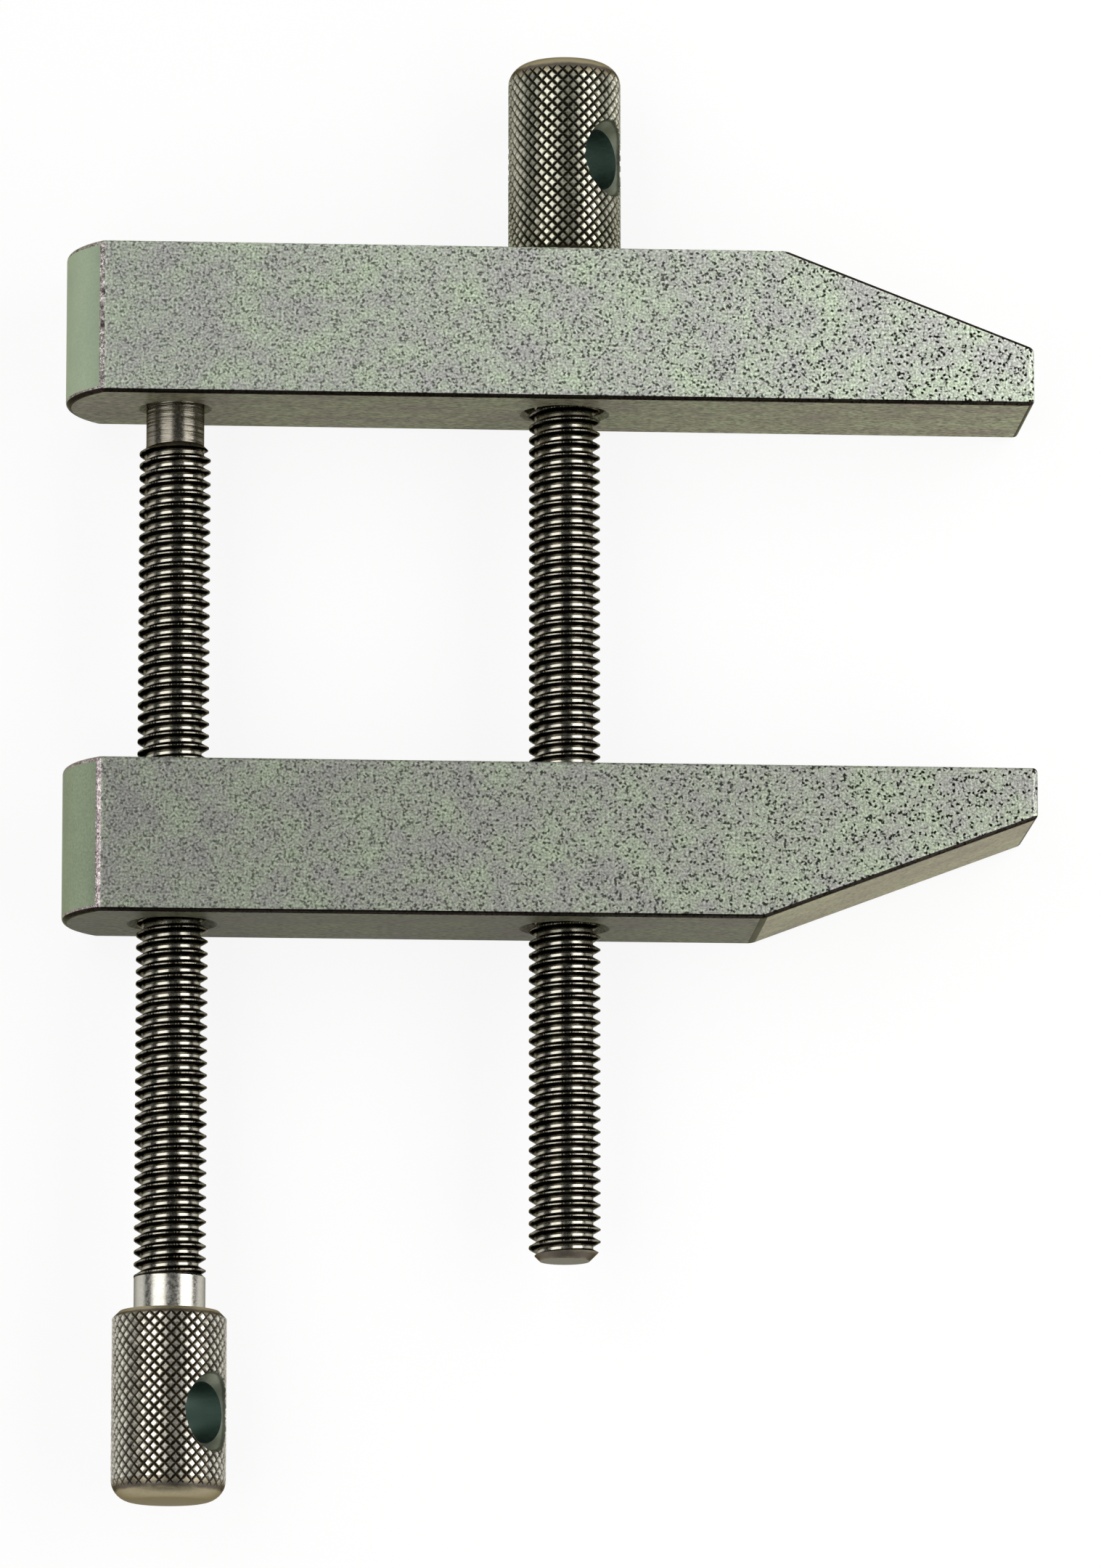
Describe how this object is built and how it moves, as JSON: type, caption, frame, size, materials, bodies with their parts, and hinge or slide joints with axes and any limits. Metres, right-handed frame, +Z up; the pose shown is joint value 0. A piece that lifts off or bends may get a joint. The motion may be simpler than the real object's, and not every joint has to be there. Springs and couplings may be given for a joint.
{
  "type": "toolmakers clamp",
  "caption": "Parallel screw clamp: a plain jaw and a tapped jaw with thinned noses, carried on knurled-head screws with tommy bar holes.",
  "frame": {"origin": "on the surface that the clamp lies on, under the middle of its length and width", "axes": "+X along the jaws towards their noses, +Y along the screws towards the middle screw's head, +Z up through the jaws' thickness"},
  "size_m": [0.0792, 0.1196, 0.0128],
  "materials": {
    "plain_jaw_zinc": "zinc plated and passivated steel with fine pits",
    "tapped_jaw_zinc": "zinc plated and passivated steel with fine pits",
    "middle_screw_steel": "plated steel with a turned thread and a diamond-knurled head",
    "rear_screw_steel": "plated steel with a turned thread, a bright pin and a diamond-knurled head"
  },
  "bodies": {
    "plain_jaw": {"plain_jaw": "plain_jaw_zinc"},
    "tapped_jaw": {"tapped_jaw": "tapped_jaw_zinc"},
    "middle_screw": {"middle_screw": "middle_screw_steel"},
    "rear_screw": {"rear_screw": "rear_screw_steel"}
  },
  "joints": [
    {"name": "middle_screw_turn", "type": "hinge", "parent": "plain_jaw", "child": "middle_screw", "pos_m": [0.0014, 0, 0.0064], "axis": [0, 1, 0], "range_deg": [-10836, 9000]},
    {"name": "rear_screw_turn", "type": "hinge", "parent": "plain_jaw", "child": "rear_screw", "pos_m": [-0.0306, 0, 0.0064], "axis": [0, 1, 0], "range_deg": [-10836, 9000]},
    {"name": "jaw_opening", "type": "slide", "parent": "plain_jaw", "child": "tapped_jaw", "axis": [0, -1, 0], "range_m": [-0.0301, 0.025]}
  ],
  "couplings": [
    {"joint": "middle_screw_turn", "follows": "jaw_opening", "rad_per_m": 6283.2},
    {"joint": "rear_screw_turn", "follows": "jaw_opening", "rad_per_m": 6283.2}
  ]
}
